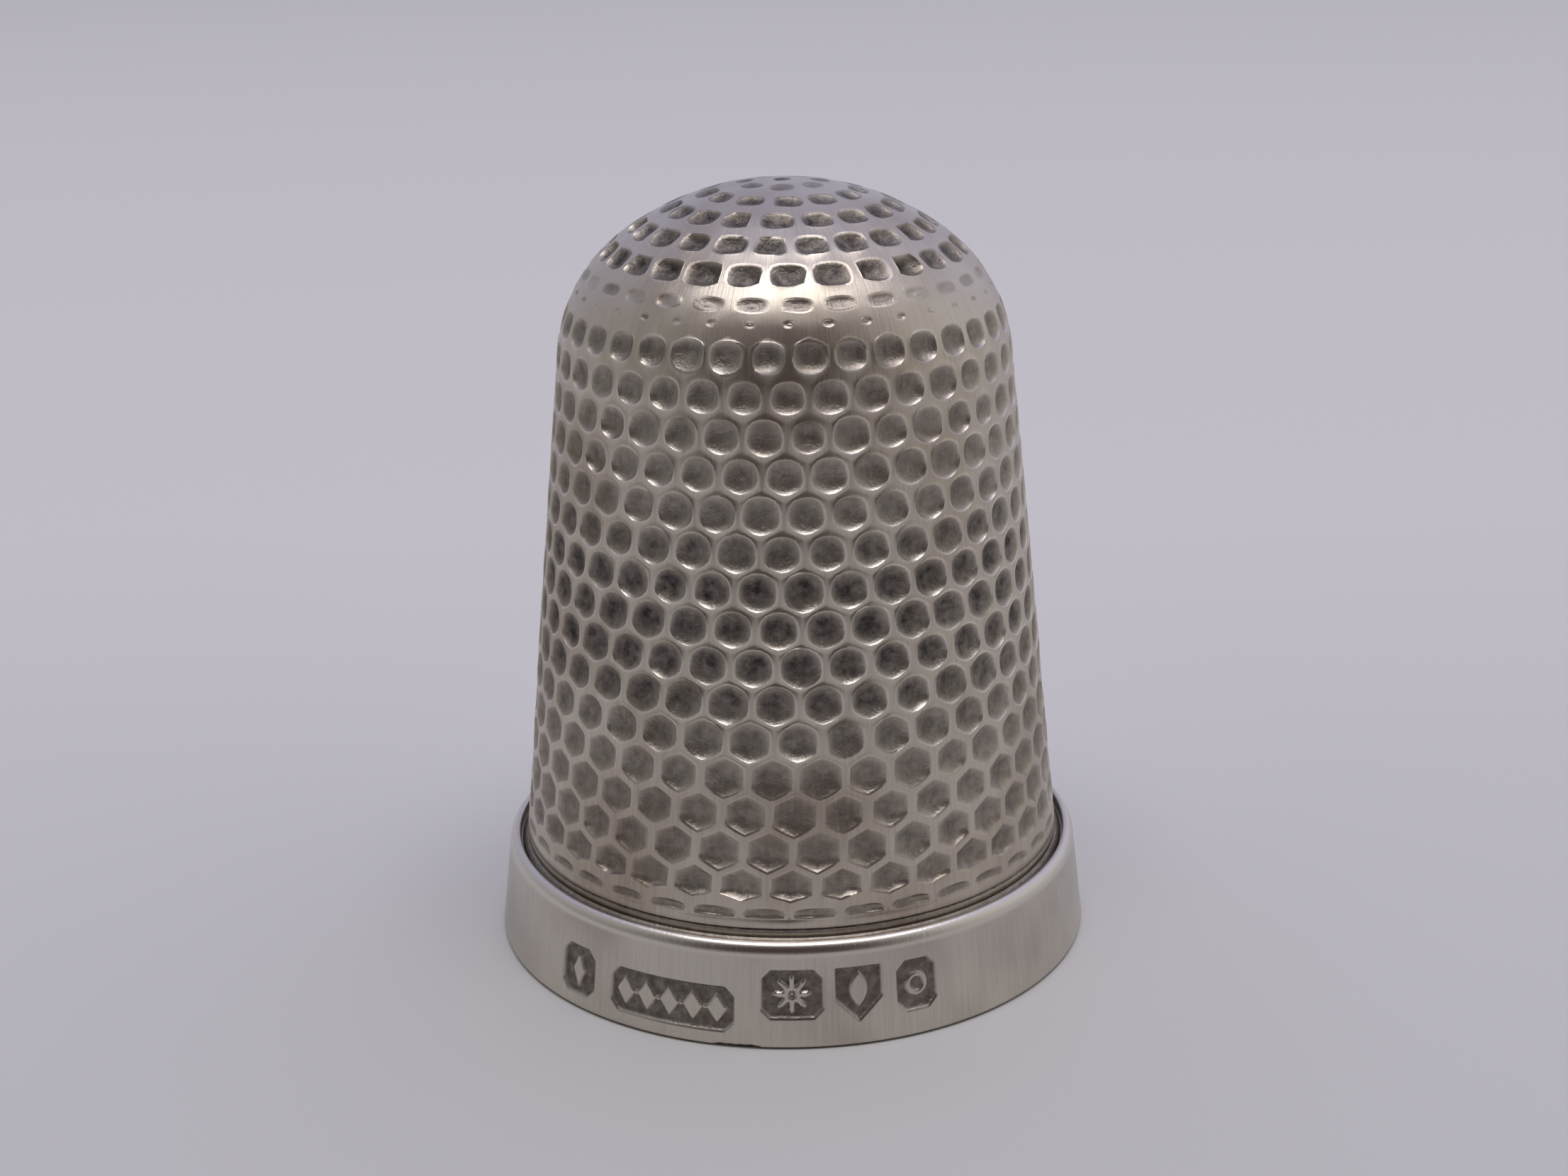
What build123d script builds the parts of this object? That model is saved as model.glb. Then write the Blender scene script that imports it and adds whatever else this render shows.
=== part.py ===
"""Sewing thimble in sterling silver: a drawn and knurled cup with a soldered band round its mouth.

The frame is the thimble's own: the origin is the centre of the mouth, where it stands, +Z runs up
the finger to the crown, and the punch marks on the band face -Y. Lengths are in millimetres.
The pieces are the cup, the band, the solder ring that holds the band on the cup's foot, and the
line of solder that closes the band where its two ends meet at the back.
"""

from build123d import *
from math import asin, atan, cos, degrees, pi, radians, sin
import os

# ---- The cup ----
HEIGHT = 22.6                 # mouth to the top of the crown
FOOT_LAND_RADIUS = 8.43       # radius of the tapering outside, carried down to the mouth
TAPER = 0.107                 # radius lost per millimetre of height
SHOULDER_Z = 17.9             # height at which the straight side meets the shoulder
SHOULDER_RADIUS = 4.5         # profile radius of the shoulder, between the side and the crown
WALL = 0.42                   # sheet thickness, measured on the lands between the dimples
BORE_RADIUS = 7.78            # the finger bore at the mouth, a short true cylinder
BORE_EDGE = 0.12              # rounding of the bore's edge, where the finger goes in

# ---- The foot of the cup, inside the band ----
FOOT_RADIUS = 8.28            # turned seat for the band
FOOT_TOP = 2.8                # the seat's upper edge, just below the band's
LIP_BOTTOM = 2.98             # the plain turned lip starts here, above a small sloping step

# ---- The dimples ----
SIDE_ROWS = 15
DIMPLES_PER_ROW = 36
TOP_ROW_Z = 18.88
ROW_STEP = 1.035              # height between rows
TOP_ROW_TURN = 0.6            # where the first row starts, in dimple pitches
ROW_TURN = -0.544             # how far each row is turned from the one above, in pitches
DIMPLE_DEPTH = 0.19
TOP_DIMPLE_WIDTH = 0.84       # the knurling wheel bites wider towards the mouth
BOTTOM_DIMPLE_WIDTH = 1.18
CROWN_RING_STEP = 1.085       # spacing of the crown's rings, measured along the crown
CROWN_RING_COUNTS = (7, 13, 18, 23, 27)
CROWN_RING_TURNS = (0.0, 0.12, -0.14, -0.29, 0.11)
CROWN_DIMPLE_WIDTH = 0.86
CUTTER_MARGIN = 0.03          # how far a dimple's cutter stands up above the surface it cuts

# ---- The band ----
BAND_HEIGHT = 3.05
BAND_BOTTOM_RADIUS = 9.0
BAND_TOP_RADIUS = 8.62
BAND_BORE_RADIUS = 8.34
BAND_TOP_EDGE = 0.25          # rounding of the upper outer edge
BAND_BOTTOM_EDGE = 0.14       # rounding of the lower outer edge
SEAM_WIDTH = 0.12             # gap between the strip's two ends, at the back
SOLDER_TOP = 2.78             # the solder stops just below the seat's upper edge

# ---- The punch marks, each a shallow recess with a flat-topped outline and no device ----
MARK_DEPTH = 0.12
MARK_CORNER = 0.28            # how much of each corner the punch cuts off
# left edge and right edge in degrees round from the front, low edge and high edge in mm
SIZE_MARK = (-48.4, -39.6, 0.42, 1.92)
MAKER_MARK = (-35.7, -10.7, 0.45, 1.77)
STANDARD_MARK = (-6.1, 5.4, 0.88, 2.32)
YEAR_MARK = (18.8, 26.9, 0.77, 2.28)
TOWN_MARK = (7.3, 16.2, 0.71, 2.32)      # a tablet with a pointed base
TOWN_MARK_SHOULDER = 1.42                # height at which its sides turn in to the point

LEAN = atan(TAPER)
PROFILE = Plane.XZ            # sketches in this plane read (radius, height)


def land_radius(height):
    """Outside radius of the straight side at a height."""
    return FOOT_LAND_RADIUS - TAPER * height


# The shoulder is an arc tangent to the side, and the crown an arc tangent to the shoulder.
SHOULDER_CENTRE = (
    land_radius(SHOULDER_Z) - SHOULDER_RADIUS * cos(LEAN),
    SHOULDER_Z - SHOULDER_RADIUS * sin(LEAN),
)
RISE = HEIGHT - SHOULDER_CENTRE[1]
CROWN_RADIUS = (SHOULDER_CENTRE[0] ** 2 + RISE**2 - SHOULDER_RADIUS**2) / (2 * (RISE - SHOULDER_RADIUS))
CROWN_CENTRE = (0.0, HEIGHT - CROWN_RADIUS)
CROWN_HALF_ANGLE = asin(SHOULDER_CENTRE[0] / (CROWN_RADIUS - SHOULDER_RADIUS))


def profile_arc(centre, radius, start_angle, end_angle):
    """Arc of the profile, from one angle to another, in radians above the horizontal."""
    return CenterArc(centre, radius, degrees(start_angle), degrees(end_angle - start_angle))


def dome(inset):
    """Shoulder and crown arcs, moved inwards by inset, from the side up to the axis."""
    crown_edge = pi / 2 - CROWN_HALF_ANGLE
    shoulder = profile_arc(SHOULDER_CENTRE, SHOULDER_RADIUS - inset, LEAN, crown_edge)
    crown = profile_arc(CROWN_CENTRE, CROWN_RADIUS - inset, crown_edge, pi / 2)
    return shoulder, crown


def plain_cup():
    """The cup as drawn and turned, before the dimples are rolled in."""
    outer_shoulder, outer_crown = dome(0.0)
    inner_shoulder, inner_crown = dome(WALL)
    inner_side_at_mouth = FOOT_LAND_RADIUS - WALL / cos(LEAN)
    bore_top = (inner_side_at_mouth - BORE_RADIUS) / TAPER
    outer = Polyline(
        (BORE_RADIUS, 0.0),
        (FOOT_RADIUS, 0.0),
        (FOOT_RADIUS, FOOT_TOP),
        (land_radius(LIP_BOTTOM), LIP_BOTTOM),
        outer_shoulder @ 0,
    )
    top = Line(outer_crown @ 1, inner_crown @ 1)
    inner = Polyline(inner_shoulder @ 0, (BORE_RADIUS, bore_top), (BORE_RADIUS, 0.0))
    outline = [outer, outer_shoulder, outer_crown, top, inner_crown, inner_shoulder, inner]
    cup = revolve(PROFILE * make_face(outline), Axis.Z)
    mouth_edges = cup.edges().filter_by(GeomType.CIRCLE).group_by(Axis.Z)[0]
    return fillet(mouth_edges.sort_by(SortBy.RADIUS)[0], BORE_EDGE)


def dimple_cutter(centre, radius, angle, turn, width):
    """The cap of a ball that sinks a dimple into an arc or side of the profile.

    centre and radius give the arc, angle the place on it above the horizontal,
    and turn the place round the thimble, in degrees from the front towards +X.
    Only the cap is used, because whole balls would run into their neighbours.
    """
    ball = (width**2 / 4 + DIMPLE_DEPTH**2) / (2 * DIMPLE_DEPTH)
    cap_top = -degrees(asin((ball - DIMPLE_DEPTH - CUTTER_MARGIN) / ball))
    cap = Sphere(ball, -90, cap_top, align=(Align.CENTER, Align.CENTER, Align.MIN))
    floor = radius - DIMPLE_DEPTH
    out = centre[0] + floor * cos(angle)
    height = centre[1] + floor * sin(angle)
    return Rot(0, 0, turn) * Pos(0, -out, height) * Rot(90 - degrees(angle), 0, 0) * cap


def side_surface(height):
    """Centre, radius and angle of the profile at a height on the side or the shoulder."""
    if height > SHOULDER_Z:
        rise = height - SHOULDER_CENTRE[1]
        return SHOULDER_CENTRE, SHOULDER_RADIUS, asin(rise / SHOULDER_RADIUS)
    return (land_radius(height), height), 0.0, LEAN


def side_dimples():
    """Cutters for the level rows round the side, each turned about half a pitch from the last."""
    pitch = 360 / DIMPLES_PER_ROW
    cutters = []
    for row in range(SIDE_ROWS):
        centre, radius, angle = side_surface(TOP_ROW_Z - row * ROW_STEP)
        share = row / (SIDE_ROWS - 1)
        width = TOP_DIMPLE_WIDTH + share * (BOTTOM_DIMPLE_WIDTH - TOP_DIMPLE_WIDTH)
        first = TOP_ROW_TURN + row * ROW_TURN
        for number in range(DIMPLES_PER_ROW):
            turn = (first + number) * pitch
            cutters.append(dimple_cutter(centre, radius, angle, turn, width))
    return cutters


def crown_dimples():
    """Cutters for the rings over the crown, with one dimple at its centre."""
    cutters = [dimple_cutter(CROWN_CENTRE, CROWN_RADIUS, pi / 2, 0.0, CROWN_DIMPLE_WIDTH)]
    for ring, (count, first) in enumerate(zip(CROWN_RING_COUNTS, CROWN_RING_TURNS), start=1):
        angle = pi / 2 - ring * CROWN_RING_STEP / CROWN_RADIUS
        for number in range(count):
            turn = (first + number) * 360 / count
            cutters.append(dimple_cutter(CROWN_CENTRE, CROWN_RADIUS, angle, turn, CROWN_DIMPLE_WIDTH))
    return cutters


def thimble_body():
    """The drawn cup with its knurled dimples."""
    return plain_cup() - (side_dimples() + crown_dimples())


def band_ring(inset):
    """The band as a whole ring, with its outside moved inwards by inset."""
    bore_bottom = (BAND_BORE_RADIUS, 0.0)
    bore_top = (BAND_BORE_RADIUS, BAND_HEIGHT)
    outer_bottom = (BAND_BOTTOM_RADIUS - inset, 0.0)
    outer_top = (BAND_TOP_RADIUS - inset, BAND_HEIGHT)
    outline = Polyline(bore_bottom, outer_bottom, outer_top, bore_top, close=True)
    return revolve(PROFILE * make_face(outline), Axis.Z)


def rounded_band():
    """The band ring with its two outer edges rounded."""
    ring = band_ring(0.0)
    circles = ring.edges().filter_by(GeomType.CIRCLE).group_by(Axis.Z)
    ring = fillet(circles[-1].sort_by(SortBy.RADIUS)[-1], BAND_TOP_EDGE)
    circles = ring.edges().filter_by(GeomType.CIRCLE).group_by(Axis.Z)
    return fillet(circles[0].sort_by(SortBy.RADIUS)[-1], BAND_BOTTOM_EDGE)


def mark_cutter(outline_points, middle_angle):
    """A prism through the band at one place round it, less the metal that the punch leaves."""
    face = PROFILE * make_face(Polyline(*outline_points, close=True))
    prism = Rot(0, 0, middle_angle) * extrude(face, BAND_BOTTOM_RADIUS + 1.0)
    return prism - band_ring(MARK_DEPTH) - Cylinder(BAND_BORE_RADIUS, 2 * HEIGHT)


def tablet_mark(left, right, low, high):
    """Cutter for a rectangular punch with its corners cut off."""
    half = BAND_BOTTOM_RADIUS * sin(radians(right - left) / 2)
    corner = MARK_CORNER
    points = [
        (-half + corner, low),
        (half - corner, low),
        (half, low + corner),
        (half, high - corner),
        (half - corner, high),
        (-half + corner, high),
        (-half, high - corner),
        (-half, low + corner),
    ]
    return mark_cutter(points, (left + right) / 2)


def pointed_mark(left, right, low, high):
    """Cutter for a punch with a flat top and a pointed base."""
    half = BAND_BOTTOM_RADIUS * sin(radians(right - left) / 2)
    points = [
        (-half, high),
        (-half, TOWN_MARK_SHOULDER),
        (0.0, low),
        (half, TOWN_MARK_SHOULDER),
        (half, high),
    ]
    return mark_cutter(points, (left + right) / 2)


def seam_gap():
    """The narrow radial gap between the strip's two ends, at the back of the band."""
    return Pos(0, BAND_BOTTOM_RADIUS, BAND_HEIGHT / 2) * Box(SEAM_WIDTH, 2.0, BAND_HEIGHT + 1.0)


def rim_band():
    """The strip bent round the mouth, with its punch marks."""
    marks = [tablet_mark(*mark) for mark in (SIZE_MARK, MAKER_MARK, STANDARD_MARK, YEAR_MARK)]
    marks.append(pointed_mark(*TOWN_MARK))
    return rounded_band() - seam_gap() - marks


def band_closing_seam():
    """Solder that fills the gap between the strip's ends."""
    return rounded_band() & seam_gap()


def rim_solder_ring():
    """Solder between the cup's foot and the bore of the band."""
    tube = Cylinder(BAND_BORE_RADIUS, SOLDER_TOP, align=(Align.CENTER, Align.CENTER, Align.MIN))
    seat = Cylinder(FOOT_RADIUS, SOLDER_TOP, align=(Align.CENTER, Align.CENTER, Align.MIN))
    return tube - seat


NODES = {
    "thimble_body": thimble_body,
    "rim_band": rim_band,
    "band_closing_seam": band_closing_seam,
    "rim_solder_ring": rim_solder_ring,
}

os.makedirs("parts", exist_ok=True)
for node, make in NODES.items():
    export_step(make(), f"parts/{node}.step")
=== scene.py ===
# %% [markdown]
# # A silver thimble
#
# A thimble is a small cup of sterling silver sheet. It is drawn to shape in a press, its
# dimples are rolled in with a knurling wheel, and a band is soldered round its mouth.
# This lesson builds the cup and the band as meshes round a fixed model of the thimble, which
# says where every piece is. All lengths are in metres, so a millimetre is given a name.

# %% Load the fixed model
import bpy
import bmesh
import random
from math import acos, atan, atan2, cos, degrees, hypot, pi, radians, sin
from mathutils import Matrix, Vector, noise


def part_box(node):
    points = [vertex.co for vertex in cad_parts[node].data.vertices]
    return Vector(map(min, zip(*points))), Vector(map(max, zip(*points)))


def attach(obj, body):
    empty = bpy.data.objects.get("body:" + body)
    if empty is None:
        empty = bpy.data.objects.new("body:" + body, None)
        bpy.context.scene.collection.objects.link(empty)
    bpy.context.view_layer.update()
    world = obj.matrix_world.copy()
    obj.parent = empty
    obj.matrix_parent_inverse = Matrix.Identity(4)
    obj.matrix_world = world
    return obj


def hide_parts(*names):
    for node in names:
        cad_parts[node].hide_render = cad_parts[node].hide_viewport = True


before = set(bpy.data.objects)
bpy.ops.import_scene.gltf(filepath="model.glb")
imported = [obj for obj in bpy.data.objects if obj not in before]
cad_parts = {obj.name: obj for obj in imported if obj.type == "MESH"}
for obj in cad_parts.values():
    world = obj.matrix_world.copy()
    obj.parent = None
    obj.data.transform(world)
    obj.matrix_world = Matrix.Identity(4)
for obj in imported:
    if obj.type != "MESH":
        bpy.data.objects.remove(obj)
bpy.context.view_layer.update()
MM = 0.001
random.seed(1907)
print("pieces in the model:", sorted(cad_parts))

# %% [markdown]
# ## The outline of the plain cup
#
# Before it is knurled, the cup is a turned shape: a straight, slightly tapering side, then a
# shoulder arc, then a flatter crown arc. Three pieces of geometry that meet in line need only
# a few numbers, so the outline is worked out from those, and every later step asks one
# function to put a point on it. The crown's radius follows from the height, because the crown
# arc has to touch the shoulder arc.

# %% Driving sizes of the cup
HEIGHT = 22.6 * MM
FOOT_LAND_RADIUS = 8.43 * MM    # of the side, if it ran straight down to the table
TAPER = 0.107                   # radius lost for each unit of height
SHOULDER_Z = 17.9 * MM          # where the side meets the shoulder arc
SHOULDER_RADIUS = 4.5 * MM
WALL = 0.42 * MM                # thickness of the sheet
BORE_RADIUS = 7.78 * MM
BORE_EDGE = 0.12 * MM           # rounding of the bore's lower edge
FOOT_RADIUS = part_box("thimble_body")[1][0]
FOOT_TOP = 2.8 * MM             # top of the foot that the band is soldered to
LIP_BOTTOM = 2.98 * MM
LIP_TOP = 3.50 * MM             # where the knurled skin starts

LEAN = atan(TAPER)


def land_radius(height):
    """The radius of the straight side at a height."""
    return FOOT_LAND_RADIUS - TAPER * height


SHOULDER_CENTRE = (land_radius(SHOULDER_Z) - SHOULDER_RADIUS * cos(LEAN),
                   SHOULDER_Z - SHOULDER_RADIUS * sin(LEAN))
RISE = HEIGHT - SHOULDER_CENTRE[1]
CROWN_RADIUS = (SHOULDER_CENTRE[0] ** 2 + RISE**2 - SHOULDER_RADIUS**2) / (2 * (RISE - SHOULDER_RADIUS))
CROWN_CENTRE = (0.0, HEIGHT - CROWN_RADIUS)
CROWN_EDGE = acos(SHOULDER_CENTRE[0] / (CROWN_RADIUS - SHOULDER_RADIUS))
print(f"crown radius {CROWN_RADIUS / MM:.2f} mm, shoulder radius {SHOULDER_RADIUS / MM:.2f} mm")

# %% One function puts a point on the plain cup


def press(point, lift=0.0):
    """The nearest place to point on the plain outside, moved outwards by lift."""
    reach = hypot(point.x, point.y)
    crown_angle = atan2(point.z - CROWN_CENTRE[1], reach)
    shoulder_angle = atan2(point.z - SHOULDER_CENTRE[1], reach - SHOULDER_CENTRE[0])
    if crown_angle > CROWN_EDGE:
        centre, radius, angle = CROWN_CENTRE, CROWN_RADIUS, crown_angle
    elif shoulder_angle > LEAN:
        centre, radius, angle = SHOULDER_CENTRE, SHOULDER_RADIUS, shoulder_angle
    else:
        off = (reach - land_radius(point.z)) * cos(LEAN)
        centre = (reach - off * cos(LEAN), point.z - off * sin(LEAN))
        radius, angle = 0.0, LEAN
    out = centre[0] + (radius + lift) * cos(angle)
    height = centre[1] + (radius + lift) * sin(angle)
    turn = atan2(point.x, -point.y)
    return Vector((out * sin(turn), -out * cos(turn), height))


print(f"the middle of the crown is pressed to {press(Vector((0, 0, 1))).z / MM:.1f} mm")

# %% Places on the outline


def spot(turn, place):
    """A point at a turn round from the front, and at a (radius, height) place of the outline."""
    return Vector((place[0] * sin(turn), -place[0] * cos(turn), place[1]))


def side_place(height):
    """The outline's (radius, height) at a height on the straight side or the shoulder."""
    if height <= SHOULDER_Z:
        return land_radius(height), height
    rise = height - SHOULDER_CENTRE[1]
    return SHOULDER_CENTRE[0] + (SHOULDER_RADIUS**2 - rise**2) ** 0.5, height


def crown_place(arc):
    """The outline's (radius, height) at an arc length down the crown from its middle."""
    angle = arc / CROWN_RADIUS
    return CROWN_RADIUS * sin(angle), CROWN_CENTRE[1] + CROWN_RADIUS * cos(angle)


print(f"under the shoulder the cup is {2 * side_place(SHOULDER_Z)[0] / MM:.2f} mm across")

# %% [markdown]
# ## The knurling, row by row
#
# A knurling wheel rolls level rows of dimples round the side, and each row starts about half a
# pitch on from the last, so the dimples nest like honeycomb. Near the mouth the wheel bites
# deep and wide, and its dimples crowd into rounded hexagons. Higher up they are round and each
# has a thin raised rim of pushed-up metal. The crown is knurled in rings that get shorter
# towards the middle, with wide rounded dimples. Use has worn two rows on the shoulder almost
# flat. One list of rows holds all that, and a short function blends the sizes along the side.

# %% The pitch of the knurling
SIDE_ROWS = 15
DIMPLES_PER_ROW = 36
TOP_ROW_Z = 18.88 * MM
ROW_STEP = 1.035 * MM
TOP_ROW_TURN = 0.60             # how far round from the front the top row starts, in dimples
ROW_TURN = -0.544               # how much further round each lower row starts, in dimples
CROWN_RING_STEP = 1.085 * MM
middle_row_z = TOP_ROW_Z - (SIDE_ROWS - 1) / 2 * ROW_STEP
pitch = 2 * pi * land_radius(middle_row_z) / DIMPLES_PER_ROW
print(f"pitch round the middle row: {pitch / MM:.2f} mm, between rows: {ROW_STEP / MM:.2f} mm")

# %% How the dimples change down the side
FULL_BURR = 0.022 * MM          # height of the raised rim where it is highest


def blend(stops, share):
    """A value read off a list of (share, value) stops, straight between them."""
    for (low, first), (high, second) in zip(stops, stops[1:]):
        if share <= high:
            return first + (second - first) * (share - low) / (high - low)
    return stops[-1][1]


# each stop is a share of the way down, 0 at the top row and 1 at the lowest, and a value there
WIDTH_DOWN_THE_SIDE = [(0.0, 0.88 * MM), (0.3, 1.02 * MM), (0.6, 1.10 * MM), (1.0, 1.20 * MM)]
TALL_DOWN_THE_SIDE = [(0.0, 0.84 * MM), (0.3, 1.00 * MM), (0.6, 1.08 * MM), (1.0, 1.15 * MM)]
DEPTH_DOWN_THE_SIDE = [(0.0, 0.15 * MM), (0.25, 0.14 * MM), (0.6, 0.15 * MM), (1.0, 0.16 * MM)]
BURR_DOWN_THE_SIDE = [(0.0, 0.014 * MM), (0.2, FULL_BURR), (0.66, FULL_BURR), (0.8, 0.004 * MM),
                      (1.0, 0.0)]
# 0 is the dimple's own outline, and 1 is the outline of its face in the cage
FOLLOW_DOWN_THE_SIDE = [(0.0, 0.05), (0.6, 0.12), (0.72, 0.30), (0.86, 0.65), (1.0, 0.85)]
# the power of the bowl's curve: 2 is nearly a ball's, and more has a flatter floor
FLATNESS_DOWN_THE_SIDE = [(0.0, 2.4), (0.5, 2.2), (0.7, 2.4), (1.0, 2.6)]
# 0 is clean, and 1 is as dark as the silver goes
TARNISH_DOWN_THE_SIDE = [(0.0, 0.66), (0.25, 0.60), (0.42, 0.95), (0.6, 0.95), (0.75, 0.66),
                         (1.0, 0.62)]
# the power of the outline's superellipse: 2 is an ellipse, and more is squarer
SQUARE_DOWN_THE_SIDE = [(0.0, 2.8), (0.2, 2.3), (1.0, 2.1)]


def side_row(number):
    """One row of the side, numbered from the top."""
    share = number / (SIDE_ROWS - 1)
    return {
        "count": DIMPLES_PER_ROW,
        "turn": TOP_ROW_TURN + number * ROW_TURN,
        "place": side_place(TOP_ROW_Z - number * ROW_STEP),
        "width": blend(WIDTH_DOWN_THE_SIDE, share),
        "tall": blend(TALL_DOWN_THE_SIDE, share),
        "depth": blend(DEPTH_DOWN_THE_SIDE, share),
        "burr": blend(BURR_DOWN_THE_SIDE, share),
        "follow": blend(FOLLOW_DOWN_THE_SIDE, share),
        "flatness": blend(FLATNESS_DOWN_THE_SIDE, share),
        "tarnish": blend(TARNISH_DOWN_THE_SIDE, share),
        "square": blend(SQUARE_DOWN_THE_SIDE, share),
        "worn": 0.0,
    }


lowest = side_row(SIDE_ROWS - 1)
print(f"lowest full row: {lowest['width'] / MM:.2f} mm wide, {lowest['depth'] / MM:.2f} mm deep")

# %% The half row, the worn rows and the crown's rings
OTHER_FLATNESS = 2.8
OTHER_TARNISH = 0.92
HALF_ROW_Z = 3.69 * MM
HALF_ROW_TARNISH = 0.55
WORN_NICKS_Z = 19.68 * MM
WORN_MARKS_Z = 20.13 * MM


def other_row(count, turn, place, width, tall, depth, square=2.1, burr=0.0, worn=0.0):
    """A row that isn't one of the side's full ones, with its sizes in millimetres."""
    return {
        "count": count,
        "turn": turn,
        "place": place,
        "width": width * MM,
        "tall": tall * MM,
        "depth": depth * MM,
        "burr": burr * MM,
        "follow": 0.0,
        "flatness": OTHER_FLATNESS,
        "tarnish": OTHER_TARNISH - worn / 2,
        "square": square,
        "worn": worn,
    }


half_row_turn = TOP_ROW_TURN + SIDE_ROWS * ROW_TURN
half_row = other_row(DIMPLES_PER_ROW, half_row_turn, side_place(HALF_ROW_Z), 1.2, 0.28, 0.05)
half_row["cut_flat"] = True
half_row["tarnish"] = HALF_ROW_TARNISH
worn_nicks = other_row(36, 0.13, side_place(WORN_NICKS_Z), 0.30, 0.17, 0.03, worn=0.95)
worn_marks = other_row(30, 0.28, side_place(WORN_MARKS_Z), 0.90, 0.40, 0.05, square=3.0, worn=0.7)
# outermost first: count, turn, width, height, depth, squareness, burr and wear
CROWN_RINGS = [
    (27, 0.113, 1.06, 0.78, 0.19, 3.4, 0.006, 0.0),
    (23, -0.292, 1.02, 0.76, 0.18, 3.2, 0.006, 0.0),
    (18, -0.135, 0.98, 0.74, 0.16, 3.0, 0.005, 0.0),
    (13, 0.126, 0.90, 0.68, 0.13, 2.8, 0.004, 0.0),
    (7, 0.0, 0.74, 0.60, 0.08, 2.5, 0.0, 0.3),
]

ROWS = [half_row] + [side_row(number) for number in reversed(range(SIDE_ROWS))]
ROWS += [worn_nicks, worn_marks]
for inwards, (count, turn, *shape) in enumerate(CROWN_RINGS):
    place = crown_place((len(CROWN_RINGS) - inwards) * CROWN_RING_STEP)
    ROWS.append(other_row(count, turn, place, *shape))
ROWS.append(other_row(1, 0.0, crown_place(0.0), 0.55, 0.55, 0.06))
print("rows:", len(ROWS), "dimples:", sum(row["count"] for row in ROWS))

# %% [markdown]
# ## A cage with one face for each dimple
#
# The knurled skin starts as a cage: a face for each dimple, whose corners lie where three
# dimples meet. No operator makes such a cage, because the number of dimples changes from ring
# to ring, so neighbouring rows are zipped together by the shorter diagonal, and the middle of
# each triangle of three dimples becomes a corner. Everything after that is an operator: the
# cage's edges are bisected, and each face is inset again and again to make a dimple.

# %% Zip the rows together


def turn_of(row, number):
    """How far round from the front one dimple of a row is."""
    return (row["turn"] + number) * 2 * pi / row["count"]


def zip_rows(lower, upper):
    """Triples of dimples that meet between two rows, each as (row index, number)."""
    below, above = ROWS[lower], ROWS[upper]
    if above["count"] == 1:
        return [((lower, i), (lower, i + 1), (upper, 0)) for i in range(below["count"])]
    first = round(turn_of(below, 0) * above["count"] / (2 * pi) - above["turn"])
    i, j, triples = 0, first, []
    while i < below["count"] or j < first + above["count"]:
        step_below = abs(turn_of(below, i + 1) - turn_of(above, j))
        step_above = abs(turn_of(above, j + 1) - turn_of(below, i))
        below_done = i == below["count"]
        above_done = j == first + above["count"]
        if above_done or (not below_done and step_below <= step_above):
            triples.append(((lower, i), (lower, i + 1), (upper, j)))
            i += 1
        else:
            triples.append(((lower, i), (upper, j + 1), (upper, j)))
            j += 1
    return triples


triples = [triple for lower in range(len(ROWS) - 1) for triple in zip_rows(lower, lower + 1)]
print("corners where three dimples meet:", len(triples))

# %% Make the cage


def centre_of(key):
    """The middle of a dimple, given as (row index, number)."""
    row = ROWS[key[0]]
    return spot(turn_of(row, key[1]), row["place"])


def tangents(point):
    """The outward normal, the level direction and the uphill direction on the cup at a point."""
    normal = (press(point, MM) - press(point)).normalized()
    turn = atan2(point.x, -point.y)
    level = Vector((cos(turn), sin(turn), 0.0))
    return normal, level, normal.cross(level)


def bearing(offset, level, uphill):
    """The direction of an offset from a dimple's middle, as an angle up from level."""
    return atan2(offset.dot(uphill), offset.dot(level))


cage = bmesh.new()
cell_layer = cage.faces.layers.int.new("cell")
corners = {}
for triple in triples:
    place = press(sum((centre_of(key) for key in triple), Vector()) / 3)
    corner = cage.verts.new(place)
    for row, number in triple:
        corners.setdefault((row, number % ROWS[row]["count"]), []).append(corner)
for number in range(half_row["count"]):
    turn = turn_of(half_row, number + 0.5)
    corner = cage.verts.new(spot(turn, side_place(LIP_TOP)))
    corners[0, number].append(corner)
    corners[0, (number + 1) % half_row["count"]].append(corner)

cells = []
for key in sorted(corners):
    centre = centre_of(key)
    normal, level, uphill = tangents(centre)
    ordered = sorted(corners[key], key=lambda corner: bearing(corner.co - centre, level, uphill))
    face = cage.faces.new(ordered)
    face[cell_layer] = len(cells)
    cells.append((ROWS[key[0]], centre, level, uphill))
print(f"cage: {len(cage.verts)} corners, {len(cage.faces)} faces")

# %% [markdown]
# ## Pressing the dimples
#
# Each cage face becomes a dimple by insetting. An inset of no width copies the face's outline
# on top of itself, and the copy is then moved to where the next ring of the dimple belongs: the
# foot of the rim, its crest, the wall and the floor. The ring's shape is a superellipse, which
# is an ellipse at 2 and nearly a rectangle at 3, and near the mouth it follows the cage instead,
# with a wall of even width, which is what makes honeycomb. Small seeded differences in size,
# depth and tilt keep the rows from looking printed.

# %% More points along the cage's edges, and the values that points carry
EDGE_CUTS = 2
bmesh.ops.bisect_edges(cage, edges=cage.edges[:], cuts=EDGE_CUTS)
for vert in cage.verts:
    vert.co = press(vert.co)
tarnish_and_shade_layer = cage.verts.layers.float.new("sunk")
crest_layer = cage.verts.layers.float.new("crest")
edge_layer = cage.verts.layers.float_vector.new("edge")
cell_layer = cage.faces.layers.int["cell"]
dimple_faces = {face[cell_layer]: face for face in cage.faces}
most = max(len(face.verts) for face in cage.faces)
print(f"{len(dimple_faces)} dimples, with up to {most} points round each")

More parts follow.
